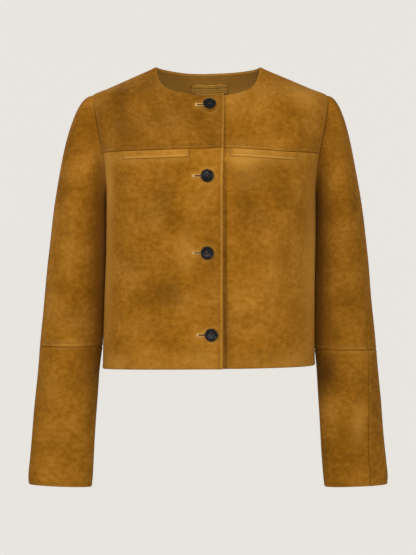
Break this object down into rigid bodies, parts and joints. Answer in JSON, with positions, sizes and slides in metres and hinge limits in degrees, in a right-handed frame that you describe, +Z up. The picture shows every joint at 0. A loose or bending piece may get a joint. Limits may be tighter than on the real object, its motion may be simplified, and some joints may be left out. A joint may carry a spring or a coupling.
{
  "type": "suede jacket",
  "caption": "Short collarless suede jacket with a button front, yokes, welt pockets and long sleeves, filled out as if worn and hollow.",
  "frame": {"origin": "midway between the two points where the shoulder seams meet the neck, at their level", "axes": "+Z up, the front faces -Y, +X toward the wearer's left"},
  "size_m": [0.568, 0.2234, 0.6681],
  "materials": {
    "suede": "matt brushed suede",
    "button": "glossy",
    "thread": "matt sewing thread"
  },
  "bodies": {
    "root": {"back": "suede", "front_yoke_right": "suede", "front_yoke_left": "suede", "front_panel_right": "suede", "front_panel_left": "suede", "pocket_welt_right": "suede", "pocket_welt_left": "suede", "back_neck_facing": "suede", "hanger_loop": "suede", "button_1": "button", "button_2": "button", "button_3": "button", "button_4": "button", "upper_sleeve_front_right": "suede", "upper_sleeve_back_right": "suede", "lower_sleeve_front_right": "suede", "lower_sleeve_back_right": "suede", "upper_sleeve_front_left": "suede", "upper_sleeve_back_left": "suede", "lower_sleeve_front_left": "suede", "lower_sleeve_back_left": "suede"}
  },
  "joints": []
}
